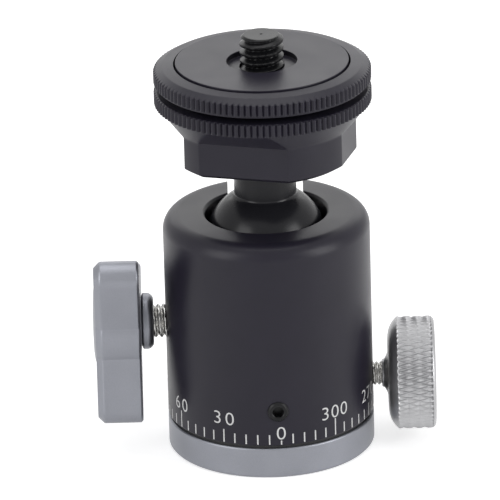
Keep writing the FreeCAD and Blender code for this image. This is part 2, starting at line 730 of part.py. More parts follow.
def make_ball():
    """Ball, neck and the spigot that the platform turns on, in one piece."""
    neck_top = size["block_bottom"] - size["fixed_clearance"]
    ball = sphere("Ball", size["ball_radius"], z=size["ball_height"])
    neck = cylinder("Neck", size["neck_radius"], neck_top - size["ball_height"],
                    z=size["ball_height"])
    spigot = cylinder("Spigot", size["spigot_radius"], size["spigot_height"], z=neck_top)
    whole = fuse("BallWhole", [ball, neck, spigot])
    bore = cylinder("SpigotBore", size["screw_shank_radius"] + size["running_clearance"],
                    neck_top + size["spigot_height"] + 1 - size["screw_shank_bottom"],
                    z=size["screw_shank_bottom"] - size["fixed_clearance"])
    keep("ball_stem", cut("BallStem", whole, [bore]))


def make_platform():
    """Block with four flats, lock ring, top disc and camera screw."""
    low = size["block_bottom"]
    edge = size["block_edge"]
    lip = size["rim_lip"]
    rim = size["rim_radius"]
    spigot_hole = size["spigot_radius"] + size["running_clearance"]
    spigot_room = low + size["spigot_height"] + size["running_clearance"]
    screw_hole = size["screw_root_radius"] + size["fixed_clearance"]
    column_top = size["disc_bottom"] - size["fixed_clearance"]
    body = turned_body("BlockTurned", [
        (spigot_hole, low),
        (size["block_radius"] - size["block_edge_in"], low),
        (size["block_radius"], low + edge),
        (size["block_radius"], size["block_shoulder"]),
        (rim - 2 * lip, size["rim_bottom"] - lip / 2),
        (rim, size["rim_bottom"]),
        (rim, size["rim_top"]),
        (rim - lip, size["rim_top"] + lip / 2),
        (size["column_radius"], size["rim_top"] + lip / 2),
        (size["column_radius"], column_top),
        (screw_hole, column_top),
        (screw_hole, spigot_room),
        (spigot_hole, spigot_room),
    ])
    flats = [flat_cutter(side) for side in ("front_flat", "left_flat", "right_flat", "back_flat")]
    keep("head_block", cut("Block", body, flats))
    make_lock_ring()
    hole = size["thread_radius"] + size["running_clearance"]
    floor = size["disc_top"] - size["recess_depth"]
    keep("top_disc", turned_body("Disc", [
        (hole, size["disc_bottom"]),
        (size["disc_radius"], size["disc_bottom"]),
        (size["disc_radius"], size["disc_top"]),
        (size["recess_radius"], size["disc_top"]),
        (size["recess_radius"], floor),
        (hole, floor),
    ]))
    thread_low = spigot_room + size["fixed_clearance"]
    keep("camera_screw", turned_body("CameraScrew", [
        (0, size["screw_shank_bottom"]),
        (size["screw_shank_radius"], size["screw_shank_bottom"]),
        (size["screw_shank_radius"], thread_low),
        (size["screw_root_radius"], thread_low),
        (size["screw_root_radius"], size["disc_top"]),
        (size["thread_radius"], size["disc_top"]),
        (size["thread_radius"], size["screw_top"] - size["screw_edge"]),
        (size["thread_radius"] - size["screw_edge"], size["screw_top"]),
        (0, size["screw_top"]),
    ]))


def flat_cutter(side):
    """What one milled flat takes off: it leans out at its top and comes in at the foot."""
    top = size["rim_bottom"] - size["rim_lip"] / 2
    slope = top - size["flat_line"]
    beyond = size["rim_radius"] + 2
    low = size["block_bottom"]
    under = low - 1
    away = size[side]
    foot = away - size["block_edge_in"]
    body = doc.addObject("PartDesign::Body", side)
    sketch = outline(body, side + "_outline", PLANE_XZ, [
        (foot, under),
        (foot, low),
        (away, low + size["block_edge"]),
        (away, size["flat_line"]),
        (away + slope, top),
        (beyond, top),
        (beyond, under),
    ])
    pad = body.newObject("PartDesign::Pad", side + "_pad")
    pad.Profile = sketch
    pad.Midplane = True
    bind(pad, "Length", 2 * size["rim_radius"])
    sketch.Visibility = False
    doc.recompute()
    return place(body, axis=(0, 0, 1), angle=size[side + "_turn"])


def make_lock_ring():
    """The knurled ring that is screwed up against the camera."""
    bottom = size["ring_bottom"]
    lip = size["rim_lip"]
    step = size["disc_bottom"] - size["running_clearance"]
    bore = size["column_radius"] + size["running_clearance"]
    disc_room = size["disc_radius"] + size["disc_gap"]
    rim = size["rim_radius"]
    keep("lock_ring", turned_body("Ring", [
        (bore, bottom),
        (rim - lip, bottom),
        (rim - lip, size["ring_knurl_bottom"]),
        (rim, size["ring_knurl_bottom"]),
        (rim, size["ring_knurl_top"]),
        (size["ring_face_radius"], size["ring_top"] - 0.8 * lip),
        (disc_room, size["ring_top"]),
        (disc_room, step),
        (bore, step),
    ]))


def check_and_write():
    """Refuse a failed object, then write one file for each node."""
    doc.recompute()
    for thing in doc.Objects:
        if "Invalid" in thing.State or "Error" in thing.State:
            raise RuntimeError(f"{thing.Name} is {thing.State}")
    os.makedirs("parts", exist_ok=True)
    for node, thing in parts.items():
        shape = thing.Shape
        if shape.isNull() or not shape.isValid():
            raise RuntimeError(node + " has no valid shape")
        shape.exportStep(f"parts/{node}.step")
        print(node, len(shape.Solids), round(shape.Volume, 2))


make_base()
make_housing()
make_ball_lock()
make_pan_lock()
make_ball()
make_platform()
check_and_write()
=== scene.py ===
import json
import math

import bmesh
import bpy
import numpy as np
from mathutils import Matrix, Vector


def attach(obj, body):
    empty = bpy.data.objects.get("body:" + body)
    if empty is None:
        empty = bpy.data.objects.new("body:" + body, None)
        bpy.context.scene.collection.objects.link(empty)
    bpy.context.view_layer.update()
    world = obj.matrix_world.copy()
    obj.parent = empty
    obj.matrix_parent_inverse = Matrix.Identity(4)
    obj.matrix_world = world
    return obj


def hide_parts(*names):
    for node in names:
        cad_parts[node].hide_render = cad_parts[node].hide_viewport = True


# Mini tripod ball head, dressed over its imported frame.
# Shapes are worked out in millimetres and put into the meshes in metres.

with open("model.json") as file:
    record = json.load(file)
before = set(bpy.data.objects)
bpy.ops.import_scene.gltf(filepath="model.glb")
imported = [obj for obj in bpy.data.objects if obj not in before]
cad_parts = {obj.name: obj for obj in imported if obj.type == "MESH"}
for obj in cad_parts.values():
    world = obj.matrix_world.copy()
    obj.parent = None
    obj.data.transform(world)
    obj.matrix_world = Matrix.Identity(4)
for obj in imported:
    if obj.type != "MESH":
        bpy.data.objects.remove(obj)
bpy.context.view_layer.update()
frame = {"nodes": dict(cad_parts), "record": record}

MM = 0.001
TURN = 2 * math.pi

# Sizes that several pieces share, in millimetres from the underside of the foot

HOUSING_RADIUS = 15.0
BALL_HEIGHT = 30.8
LOCK_HEIGHT = 19.0
PAN_HEIGHT = 9.8
SET_HEIGHT = 10.4
SET_TURN = math.radians(3.8)
SET_WAY = (math.sin(SET_TURN), -math.cos(SET_TURN), 0)
QUARTER_INCH_RADIUS = 3.175
QUARTER_INCH_PITCH = 1.27


# Grids and meshes


def grid_faces(rows, columns, ring):
    """Quads that join each grid corner to its next column and next row; ring closes the rows."""
    index = np.arange(rows * columns).reshape(rows, columns)
    right = np.roll(index, -1, axis=1)
    below, below_right = np.roll(index, -1, axis=0), np.roll(right, -1, axis=0)
    quads = np.stack([index, right, below_right, below], axis=-1)
    return quads.reshape(-1, 4) if ring else quads[:-1].reshape(-1, 4)


def closed_mesh(name, points, ring=False, sharp=35):
    """A closed surface from a grid of points (row, column, xyz) in millimetres. Columns run all
    the way round. With ring the last row joins the first; otherwise each end row is closed by a
    fan to its middle. The faces are turned outwards by the sign of the enclosed volume."""
    rows, columns = points.shape[:2]
    spots = points.reshape(-1, 3)
    faces = grid_faces(rows, columns, ring).tolist()
    if not ring:
        first, last = len(spots), len(spots) + 1
        spots = np.vstack([spots, points[0].mean(0), points[-1].mean(0)])
        near = np.arange(columns)
        far = near + (rows - 1) * columns
        step, back = np.roll(near, -1), np.roll(far, -1)
        faces += np.stack([step, near, np.full(columns, first)], -1).tolist()
        faces += np.stack([far, back, np.full(columns, last)], -1).tolist()
    if volume(spots, faces) < 0:
        faces = [face[::-1] for face in faces]
    return mesh_of(name, spots, faces, sharp)


def volume(spots, faces):
    """Enclosed volume: the sum over triangles of a . (b x c) / 6."""
    four = np.array([face if len(face) == 4 else face + face[-1:] for face in faces])
    a, b, c, d = (spots[four[:, i]] for i in range(4))
    halves = np.einsum("ij,ij->i", a, np.cross(b, c)) + np.einsum("ij,ij->i", a, np.cross(c, d))
    return halves.sum() / 6


def mesh_of(name, spots, faces, sharp):
    """A smooth-shaded mesh from points in millimetres, sharp where faces meet at an angle."""
    mesh = bpy.data.meshes.new(name)
    mesh.from_pydata((spots * MM).tolist(), [], faces)
    mesh.shade_smooth()
    mesh.set_sharp_from_angle(angle=math.radians(sharp))
    return mesh


def shown(name, mesh, body, slot, *nodes):
    """Put a mesh in the scene as a piece that rides on a body and stands for CAD nodes."""
    thing = bpy.data.objects.new(name, mesh)
    bpy.context.scene.collection.objects.link(thing)
    mesh.materials.append(FINISHES[slot])
    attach(thing, body)
    if nodes:
        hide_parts(*nodes)
    return thing


# Profiles


def eased(corners, ease=0.08, ring=True, steps=3, guard=0.05):
    """A profile of (radius, height) corners with each corner eased: the corner P between the
    points P1 and P2 on its two sides becomes the parabola (1-s)^2 P1 + 2 s (1-s) P + s^2 P2,
    with one guard point beyond each end so that shading stays flat on the straight parts.
    A corner may be (radius, height, its own ease); an ease of 0 keeps it as it is."""
    spots = np.array([corner[:2] for corner in corners], float)
    count = len(spots)
    blend = np.linspace(0, 1, steps + 1)[:, None]
    out = []
    for i, corner in enumerate(corners):
        cut = corner[2] if len(corner) > 2 else ease
        here, before, after = spots[i], spots[i - 1], spots[(i + 1) % count]
        if cut == 0 or (not ring and i in (0, count - 1)):
            out.append(here[None])
            continue
        back, ahead = before - here, after - here
        reach, run = np.hypot(*back), np.hypot(*ahead)
        cut = min(cut, 0.42 * reach, 0.42 * run)
        back, ahead = back / reach, ahead / run
        start, end = here + back * cut, here + ahead * cut
        more = min(guard, 0.04 * reach, 0.04 * run)
        curve = (1 - blend) ** 2 * start + 2 * blend * (1 - blend) * here + blend**2 * end
        out += [(start + back * more)[None], curve, (end + ahead * more)[None]]
    return np.vstack(out)


def stepped(profile, step, ring=True):
    """The profile with points added so that no stretch is longer than step."""
    ends = np.vstack([profile[1:], profile[:1]]) if ring else profile[1:]
    out = []
    for start, end in zip(profile, ends):
        pieces = max(1, math.ceil(np.hypot(*(end - start)) / step))
        share = np.arange(pieces)[:, None] / pieces
        out.append(start + (end - start) * share)
    if not ring:
        out.append(profile[-1:])
    return np.vstack(out)


def arc(centre, radius, start, end, steps):
    """Profile points on a circle round centre, from one angle to another in degrees."""
    angle = np.radians(np.linspace(start, end, steps + 1))
    return [(centre[0] + radius * math.cos(a), centre[1] + radius * math.sin(a), 0) for a in angle]


def turned(profile, columns=288, shape=None):
    """The profile carried round the axis: (r cos a, r sin a, z). shape gives a new radius
    from the angle, radius and height arrays."""
    angle = np.arange(columns)[None] * TURN / columns
    radius = np.repeat(profile[:, :1], columns, axis=1)
    height = np.repeat(profile[:, 1:2], columns, axis=1)
    if shape:
        radius = shape(angle, radius, height)
    return np.stack([radius * np.cos(angle), radius * np.sin(angle), height], axis=-1)


def facing(points, start, along, up=(0, 0, 1)):
    """Points turned so that their own +Z runs along a direction and their +X near up, or
    near +X where the direction itself is upright."""
    along = np.array(along, float) / np.linalg.norm(along)
    if abs(np.dot(along, up)) > 0.99:
        up = (1, 0, 0)
    up = np.array(up, float) - np.dot(up, along) * along
    up = up / np.linalg.norm(up)
    side = np.cross(along, up)
    return np.array(start, float) + points @ np.stack([up, side, along])


# Surface patterns


def saw(phase):
    """A triangle wave of the phase: 0 at whole numbers, 1 half way between."""
    return 1 - np.abs(2 * (phase - np.floor(phase)) - 1)


def screw_thread(outer, depth, pitch, low, high):
    """A right-hand thread: between two heights the radius is kept under outer - depth (1 - w),
    where w is a clipped triangle wave of height / pitch - angle / turn."""
    def shape(angle, radius, height):
        wave = np.clip(1.45 * saw(height / pitch - angle / TURN + 0.5) - 0.15, 0, 1)
        inside = (height >= low) & (height <= high) & (radius > 0.6 * outer)
        return np.where(inside, np.minimum(radius, outer - depth * (1 - wave)), radius)
    return shape


def straight_knurl(outer, depth, teeth):
    """Round-backed teeth: the radius is kept under outer - depth (1 - |cos(teeth a / 2)|)."""
    def shape(angle, radius, height):
        return np.minimum(radius, outer - depth * (1 - np.abs(np.cos(teeth * angle / 2))))
    return shape


def diamond_knurl(outer, depth, around, length, low, high):
    """Crossed grooves: the lower of two triangle waves, of around a / turn plus and minus
    height / length, raises pyramids to outer; the grooves fade out at the band's two edges."""
    def shape(angle, radius, height):
        lean = (height - low) / length
        hill = np.minimum(saw(around * angle / TURN + lean), saw(around * angle / TURN - lean))
        fade = np.clip(np.minimum(height - low, high - height) / 0.12, 0, 1)
        band = radius > outer - 1.6
        return np.where(band, radius - depth * fade * (1 - np.clip(1.25 * hill, 0, 1)), radius)
    return shape


# Shader arithmetic


class Value:
    """A shader socket that takes part in plain arithmetic by adding Math nodes."""

    def __init__(self, paint, socket):
        self.paint = paint
        self.socket = socket

    def math(self, operation, *others):
        return self.paint.node("Math", {"operation": operation},
                               dict(enumerate([self, *others])))

    def __add__(self, other):
        return self.math("ADD", other)

    __radd__ = __add__

    def __sub__(self, other):
        return self.math("SUBTRACT", other)

    def __rsub__(self, other):
        return self.math("MULTIPLY", -1.0) + other

    def __mul__(self, other):
        return self.math("MULTIPLY", other)

    __rmul__ = __mul__

    def clipped(self):
        return self.paint.node("Clamp", {}, {0: self})


class Paint:
    def __init__(self, name):
        self.material = bpy.data.materials.new(name)
        self.material.use_nodes = True
        self.tree = self.material.node_tree
        self.shader = self.tree.nodes["Principled BSDF"]
        place = self.node("TexCoord", {}, {}, "Object")
        self.place = self.node("VectorMath", {"operation": "SCALE"}, {0: place, "Scale": 1000.0})

    def node(self, kind, settings, feeds, out=0):
        made = self.tree.nodes.new("ShaderNode" + kind)
        for key, value in settings.items():
            setattr(made, key, value)
        for key, value in feeds.items():
            self.feed(made.inputs[key], value)
        return Value(self, made.outputs[out])

    def feed(self, socket, value):
        if isinstance(value, Value):
            self.tree.links.new(value.socket, socket)
        else:
            socket.default_value = value

    def noise(self, scale, detail=2.0, stretch=None):
        """Noise of a scale per millimetre, stretched along the axes if asked."""
        place = self.place
        if stretch:
            place = self.node("Mapping", {}, {"Vector": place, "Scale": stretch})
        return self.node("TexNoise", {"noise_dimensions": "3D"},
                         {"Vector": place, "Scale": scale, "Detail": detail}, "Fac")

    def blend(self, share, low, high):
        """A colour between two, by a share from 0 to 1."""
        return self.node("Mix", {"data_type": "RGBA"}, {0: share, 6: (*low, 1), 7: (*high, 1)}, 2)

    def finish(self, colour, roughness, metallic, relief=None, depth=0.01, strength=0.3, **fixed):
        feeds = {"Base Color": colour, "Roughness": roughness, "Metallic": metallic}
        if relief is not None:
            feeds["Normal"] = self.node("Bump", {}, {"Strength": strength, "Distance": depth * MM,
                                                     "Height": relief})
        for key, value in {**feeds, **fixed}.items():
            self.feed(self.shader.inputs[key.replace("_", " ")], value)
        return self.material


def satin(name, low, high, roughness, metallic, grain=9.0, relief=0.35, lines=0.0, **fixed):
    """Anodised or blasted metal: fine grain in colour, gloss and relief, a slow unevenness,
    and where asked fine lines left by turning, noise that changes along the axis only."""
    paint = Paint(name)
    fine = paint.noise(grain, 3.0)
    slow = paint.noise(0.22, 1.0)
    gloss = roughness + (fine - 0.5) * 0.14 + (slow - 0.5) * 0.1
    height = fine
    if lines:
        height = height + paint.noise(7.0, 2.0, (0.02, 0.02, 1.0)) * lines
    share = (fine * 0.6 + slow * 0.4).clipped()
    return paint.finish(paint.blend(share, low, high), gloss.clipped(), metallic,
                        height, 0.02, relief, **fixed)


FINISHES = {
    "anodised_black": satin("anodised_black", (0.009, 0.008, 0.014), (0.018, 0.016, 0.026),
                            0.36, 0.0, lines=0.6, Specular_IOR_Level=0.23),
    "ball_black": satin("ball_black", (0.008, 0.008, 0.01), (0.015, 0.015, 0.018),
                        0.24, 0.0, grain=5.0, relief=0.12, Specular_IOR_Level=0.2),
    "anodised_grey": satin("anodised_grey", (0.18, 0.186, 0.208), (0.285, 0.293, 0.325),
                           0.4, 0.85, grain=8.0, relief=0.8),
    "bright_aluminium": satin("bright_aluminium", (0.3, 0.3, 0.308), (0.48, 0.48, 0.49),
                              0.36, 0.9, grain=8.0, relief=0.4),
    "plain_aluminium": satin("plain_aluminium", (0.5, 0.5, 0.51), (0.62, 0.62, 0.63),
                             0.35, 0.95, lines=1.0),
    "steel": satin("steel", (0.42, 0.42, 0.41), (0.58, 0.57, 0.55), 0.26, 1.0, grain=6.0,
                   relief=0.2),
    "black_steel": satin("black_steel", (0.004, 0.004, 0.005), (0.009, 0.009, 0.01), 0.3, 0.0,
                         grain=6.0, relief=0.25, Specular_IOR_Level=0.2),
    "brass": satin("brass", (0.6, 0.4, 0.14), (0.72, 0.52, 0.22), 0.3, 1.0, lines=0.8),
    "black_plastic": satin("black_plastic", (0.012, 0.012, 0.012), (0.02, 0.02, 0.02), 0.55, 0.0),
    "white_plastic": satin("white_plastic", (0.72, 0.72, 0.7), (0.8, 0.8, 0.78), 0.45, 0.0),
    "white_print": satin("white_print", (0.56, 0.56, 0.56), (0.66, 0.66, 0.66), 0.5, 0.0),
}


# Cutting and joining


def cut_out(mesh, cutters, bevel=0.0):
    """The mesh less the cutters, which are removed afterwards; bevel breaks the new edges."""
    thing = bpy.data.objects.new(mesh.name + "_blank", mesh)
    bpy.context.scene.collection.objects.link(thing)
    tools = []
    for i, cutter in enumerate(cutters):
        tool = bpy.data.objects.new(f"{mesh.name}_cutter{i}", cutter)
        bpy.context.scene.collection.objects.link(tool)
        tools.append(tool)
        step = thing.modifiers.new(f"cut{i}", "BOOLEAN")
        step.operation = "DIFFERENCE"
        step.solver = "EXACT"
        step.object = tool
    if bevel:
        step = thing.modifiers.new("edges", "BEVEL")
        step.width = bevel * MM
        step.segments = 2
        step.limit_method = "ANGLE"
        step.angle_limit = math.radians(50)
    graph = bpy.context.evaluated_depsgraph_get()
    result = bpy.data.meshes.new_from_object(thing.evaluated_get(graph))
    for extra in [thing, *tools]:
        bpy.data.objects.remove(extra)
    result.shade_smooth()
    result.set_sharp_from_angle(angle=math.radians(30))
    return result


def rod(name, radius, point, near, far, along, columns=64):
    """A plain closed cylinder between two distances along a direction from a point."""
    profile = np.array([(radius, near), (radius, far)])
    return closed_mesh(name, facing(turned(profile, columns), point, along))


def joined(name, meshes):
    """One mesh from several."""
    work = bmesh.new()
    for mesh in meshes:
        work.from_mesh(mesh)
    result = bpy.data.meshes.new(name)
    work.to_mesh(result)
    work.free()
    result.shade_smooth()
    result.set_sharp_from_angle(angle=math.radians(35))
    return result


# Panning base

SCREW_CIRCLE = 8.1
SCREW_ANGLES = [TURN * (i + 0.25) / 3 for i in range(3)]
SCREW_SPOTS = [(SCREW_CIRCLE * math.cos(a), SCREW_CIRCLE * math.sin(a)) for a in SCREW_ANGLES]


def base_plate():
    """The grey foot: a ring with an eased edge, a counterbore for the bush and three holes."""
    outer, bore, pocket = 15.0, 5.02, 6.22
    pocket_top, top = 1.2, 4.6
    corners = [(pocket, 0), (14.65, 0), (outer, 0.35, 0.14), (outer, 4.425), (14.83, top),
               (bore, top, 0), (bore, pocket_top, 0), (pocket, pocket_top, 0)]
    blank = closed_mesh("base_plate", turned(stepped(eased(corners), 1.5)), ring=True)
    holes = []
    for x, y in SCREW_SPOTS:
        holes.append(rod("screw_head_hole", 1.67, (x, y, 0), -1, 1.32, (0, 0, 1)))
        holes.append(rod("screw_shank_hole", 0.92, (x, y, 0), 0.5, 6, (0, 0, 1), 32))
    shown("base_plate_turned", cut_out(blank, holes), "base", "anodised_grey", "base_plate")


def hexagon(half_width):
    """Inside the key hole the radius follows a hexagon: half width / cos of the angle from
    the nearest flat."""
    def radius(angle):
        wrapped = (angle + TURN / 12) % (TURN / 6) - TURN / 12
        return half_width / np.cos(wrapped)
    return radius


def socket_screw(head, shank, head_height, length, key, depth):
    """A cap screw with its head at the low end: shank, head, and a hexagon hole in the head."""
    wall = hexagon(key)
    corners = [(0.02, depth, 0), (key, depth, 0), (key, 0.12, 0), (key + 0.12, 0, 0),
               (head, 0), (head, head_height), (shank, head_height, 0), (shank, length)]

    def shape(angle, radius, height):
        in_key = (radius <= key + 1e-6) & (height <= depth + 1e-6) & (radius > 0.1)
        return np.where(in_key, wall(angle), radius)

    return turned(eased(corners, ring=False), 48, shape)


def base_screws():
    """Three socket screws in the foot, one mesh."""
    one = socket_screw(head=1.65, shank=0.9, head_height=1.3, length=7.0, key=0.78, depth=0.65)
    sunk = 0.02
    meshes = [closed_mesh("base_screw", one + np.array([x, y, sunk])) for x, y in SCREW_SPOTS]
    shown("base_screws_set", joined("base_screws_set", meshes), "base", "steel", "base_screws")


def thread_bush():
    """The flanged steel bush; its bore carries a thread, cut into the wall by a clipped
    triangle wave of height / pitch - angle / turn."""
    bore, body, flange = QUARTER_INCH_RADIUS, 5, 6.2
    flange_top, top = 1.18, 9
    corners = [(3.5, 0), (flange, 0), (flange, flange_top), (body, flange_top, 0), (body, top),
               (bore, top, 0), (bore, 0.3, 0)]
    profile = stepped(eased(corners), 0.11)

    def shape(angle, radius, height):
        wave = saw(height / QUARTER_INCH_PITCH - angle / TURN)
        groove = 0.42 * np.clip(1.3 * wave - 0.3, 0, 1)
        return np.where(radius < 3.2, radius + groove, radius)

    shown("thread_bush_turned", closed_mesh("thread_bush_turned", turned(profile, 96, shape), True),
          "base", "steel", "thread_bush")


# Housing and its printed scale


def housing():
    """The black body: a turned sleeve with a large round at its top edge, the socket's hollow
    sphere under the mouth, the drop notch and the three cross holes."""
    chamber, thread_bore, mouth = 9.3, 10.16, 8.85
    low, shoulder = 5, 15.76
    hollow = arc((0, BALL_HEIGHT), 9.08, -5.06, 12.9, 8)
    outer = arc((12.6, 33.4), 2.4, 0, 90, 20)
    corners = [(thread_bore, low), (14.8, low), (HOUSING_RADIUS, 5.2)] + outer + [
        (9.15, 35.8), (mouth, 35.5), (mouth, 32.83, 0)] + hollow[::-1] + [
        (chamber, 30.0, 0), (chamber, shoulder, 0), (thread_bore, shoulder, 0)]
    blank = closed_mesh("housing", turned(stepped(eased(corners, 0.12), 1.6), 360), ring=True)
    cutters = [
        notch_block(half=5.5, low=32.5, high=40, near=3.0, depth=18),
        rod("stud_hole", 2.52, (0, 0, LOCK_HEIGHT), 6, 17, (-1, 0, 0)),
        rod("pan_hole", 1.77, (0, 0, PAN_HEIGHT), 8, 17, (1, 0, 0), 48),
        rod("set_hole", 1.52, (0, 0, SET_HEIGHT), 8, 17, SET_WAY, 48),
    ]
    mesh = cut_out(blank, cutters, 0.12)
    shown("housing_turned", mesh, "housing", "anodised_black", "housing")


def notch_block(half, low, high, near, depth):
    """The notch's outline, a half circle under two upright sides, carried towards +Y."""
    angle = np.radians(np.linspace(180, 360, 33))
    across = np.concatenate([half * np.cos(angle), [half, -half]])
    up = np.concatenate([low + half * np.sin(angle), [high, high]])
    first = np.stack([across, np.full_like(across, near), up], -1)
    last = first + np.array([0, depth, 0])
    return closed_mesh("notch", np.stack([first, last]))


# Printed scale: the zero mark's angle from the front and the step between numbers, in degrees

SCALE_START = 5.2
LABELS = 11
LABEL_STEP = 360 / LABELS
TICKS_PER_LABEL = 5
DIGIT_SIZE = (1.3, 1.95)


def on_housing(across, up, proud):
    """Flat marks wrapped on the housing: angle = across / radius, seen upright from outside."""
    angle = across / HOUSING_RADIUS - TURN / 4
    radius = HOUSING_RADIUS + proud
    return np.stack([radius * np.cos(angle), radius * np.sin(angle), up], -1)


def scale_marks():
    """55 upright ticks round the foot of the housing, longer under each number, longest under
    every second number and short under the low zero."""
    ticks = TICKS_PER_LABEL * LABELS
    number = np.arange(ticks)
    centre = np.radians(SCALE_START - number * 360 / ticks) * HOUSING_RADIUS
    labelled = number % TICKS_PER_LABEL == 0
    second = number % (2 * TICKS_PER_LABEL) == 0
    low = np.where(labelled, 5.25, 5.3)
    high = np.select([number == 0, second, labelled], [5.87, 7.85, 7.25], 6.8)
    half_width = 0.1
    across = centre[:, None] + half_width * np.array([-1, 1, 1, -1])
    up = np.stack([low, low, high, high], -1)
    outer, inner = on_housing(across, up, 0.015), on_housing(across, up, -0.06)
    spots = np.concatenate([outer, inner], axis=1).reshape(-1, 3)
    box = np.array([[0, 1, 2, 3], [7, 6, 5, 4], [0, 4, 5, 1], [1, 5, 6, 2], [2, 6, 7, 3],
                    [3, 7, 4, 0]])
    faces = (box[None] + 8 * number[:, None, None]).reshape(-1, 4).tolist()
    shown("scale_ticks", mesh_of("scale_ticks", spots, faces, 30), "housing", "white_print")


def digit(character):
    """One digit as a flat mesh of its outline, with strokes thinned by the offset."""
    curve = bpy.data.curves.new("digit", "FONT")
    curve.body = character
    curve.size = 2.75
    curve.align_x = "CENTER"
    curve.offset = -0.025
    holder = bpy.data.objects.new("digit", curve)
    bpy.context.scene.collection.objects.link(holder)
    graph = bpy.context.evaluated_depsgraph_get()
    graph.update()
    flat = bpy.data.meshes.new_from_object(holder.evaluated_get(graph))
    bpy.data.objects.remove(holder)
    return flat


def scale_numbers():
    """The numbers 0 to 300, each digit a flat outline wrapped round the housing. All digits
    are stretched as the 0 is to come out at the digit size. The first number sits lower."""
    first_up, other_up = 6.05, 8.0
    flats = {character: digit(character) for character in "0123456789"}
    corners = np.array([vertex.co[:2] for vertex in flats["0"].vertices])
    low, high = corners.min(0), corners.max(0)
    stretch = np.array(DIGIT_SIZE) / (high - low)
    meshes = []
    for i in range(LABELS):
        body = str(30 * i)
        step = 1.98 if len(body) == 2 else 1.7
        middle = math.radians(SCALE_START - i * LABEL_STEP) * HOUSING_RADIUS
        up = (first_up if i == 0 else other_up) - low[1] * stretch[1]
        for j, character in enumerate(body):
            across = middle + (j - (len(body) - 1) / 2) * step
            meshes.append(wrapped(flats[character], stretch, across, up))
    shown("scale_numerals", joined("scale_numerals", meshes), "housing", "white_print")


def wrapped(flat, stretch, across, up):
    """A flat mesh stretched, cut into small triangles, thickened and wrapped on the housing
    at an arc length from the front and a height. The outer layer has the height 1 until it is
    wrapped."""
    longest, proud, sunk = 0.35, 0.02, -0.05
    work = bmesh.new()
    work.from_mesh(flat)
    for vertex in work.verts:
        vertex.co.x *= stretch[0]
        vertex.co.y *= stretch[1]
    bmesh.ops.remove_doubles(work, verts=work.verts, dist=0.001)
    bmesh.ops.triangulate(work, faces=work.faces)
    for _ in range(3):
        long_edges = [edge for edge in work.edges if edge.calc_length() > longest]
        bmesh.ops.subdivide_edges(work, edges=long_edges, cuts=1)
        bmesh.ops.triangulate(work, faces=work.faces)
    shell = bmesh.ops.extrude_face_region(work, geom=work.faces[:])
    for item in shell["geom"]:
        if isinstance(item, bmesh.types.BMVert):
            item.co.z = 1.0
    bmesh.ops.recalc_face_normals(work, faces=work.faces)
    mesh = bpy.data.meshes.new("wrapped")
    work.to_mesh(mesh)
    work.free()
    spots = np.empty(len(mesh.vertices) * 3)
    mesh.vertices.foreach_get("co", spots)
    x, y, layer = spots.reshape(-1, 3).T
    placed = on_housing(x + across, y + up, np.where(layer > 0.5, proud, sunk))
    mesh.vertices.foreach_set("co", (placed * MM).ravel())
    mesh.update()
    return mesh


def friction_screw():
    """The small set screw at the front with its hexagon hole and dog point."""
    key, dog, body = 0.8, 1.0, 1.5
    tip, end = 9.25, 15.3
    key_floor, dog_top = end - 1.3, tip + 1.4
    wall = hexagon(key)
    corners = [(0.02, key_floor, 0), (key, key_floor, 0), (key, end - 0.14, 0),
               (1.0, end - 0.03, 0), (1.25, end), (body, end - 0.25), (body, dog_top, 0),
               (dog, dog_top, 0), (dog, tip)]
    profile = stepped(eased(corners, ring=False, ease=0.05), 0.06, ring=False)
    thread = screw_thread(body, 0.26, 0.5, dog_top, end - 0.3)

    def shape(angle, radius, height):
        in_key = (radius <= key + 0.001) & (radius > 0.1) & (height >= key_floor - 0.001)
        return thread(angle, np.where(in_key, wall(angle), radius), height)

    points = facing(turned(profile, 64, shape), (0, 0, SET_HEIGHT), SET_WAY)
    shown("friction_screw_cut", closed_mesh("friction_screw_cut", points), "housing",
          "black_steel", "friction_screw")


# Ball lock at -X


def lobed_outline(hub=7.3, reach=14.75, tip=1.8, root=5.2, root_at=4.0, round_off=2.35):
    """One wing carried round three times: an arc of the hub, a straight tapering flank from
    (root_at, root) towards (reach, tip), and the tip's two corners rounded by arcs that touch
    the flank and the tip's end."""
    run = np.array([reach - root_at, tip - root])
    start = np.array([root_at, root])
    b, c = start @ run, start @ start - hub * hub
    where = (-b + math.sqrt(b * b - run @ run * c)) / (run @ run)
    join = start + run * where
    join_angle = math.degrees(math.atan2(join[1], join[0]))
    lean = 90 + math.degrees(math.atan2(run[1], run[0]))
    middle = tip - round_off * math.tan(math.radians(lean) / 2)
    corners = arc((0, 0), hub, -60, -join_angle, 10)[:-1] + [(join[0], -join[1], 0.35)]
    corners += arc((reach - round_off, -middle), round_off, -lean, 0, 8)
    corners += arc((reach - round_off, middle), round_off, 0, lean, 8)
    corners += [(join[0], join[1], 0.35)] + arc((0, 0), hub, join_angle, 60, 10)[1:-1]
    spots = stepped(eased(corners, ring=False, steps=6, guard=0.08), 0.6, ring=False)
    turns = [np.array([[math.cos(a), math.sin(a)], [-math.sin(a), math.cos(a)]])
             for a in (0, TURN / 3, 2 * TURN / 3)]
    return np.vstack([spots @ turn for turn in turns])


def moved_in(outline, distance):
    """The outline shifted inwards along its normals."""
    ahead = np.roll(outline, -1, axis=0) - np.roll(outline, 1, axis=0)
    ahead = ahead / np.linalg.norm(ahead, axis=1)[:, None]
    return outline - distance * np.stack([ahead[:, 1], -ahead[:, 0]], -1)


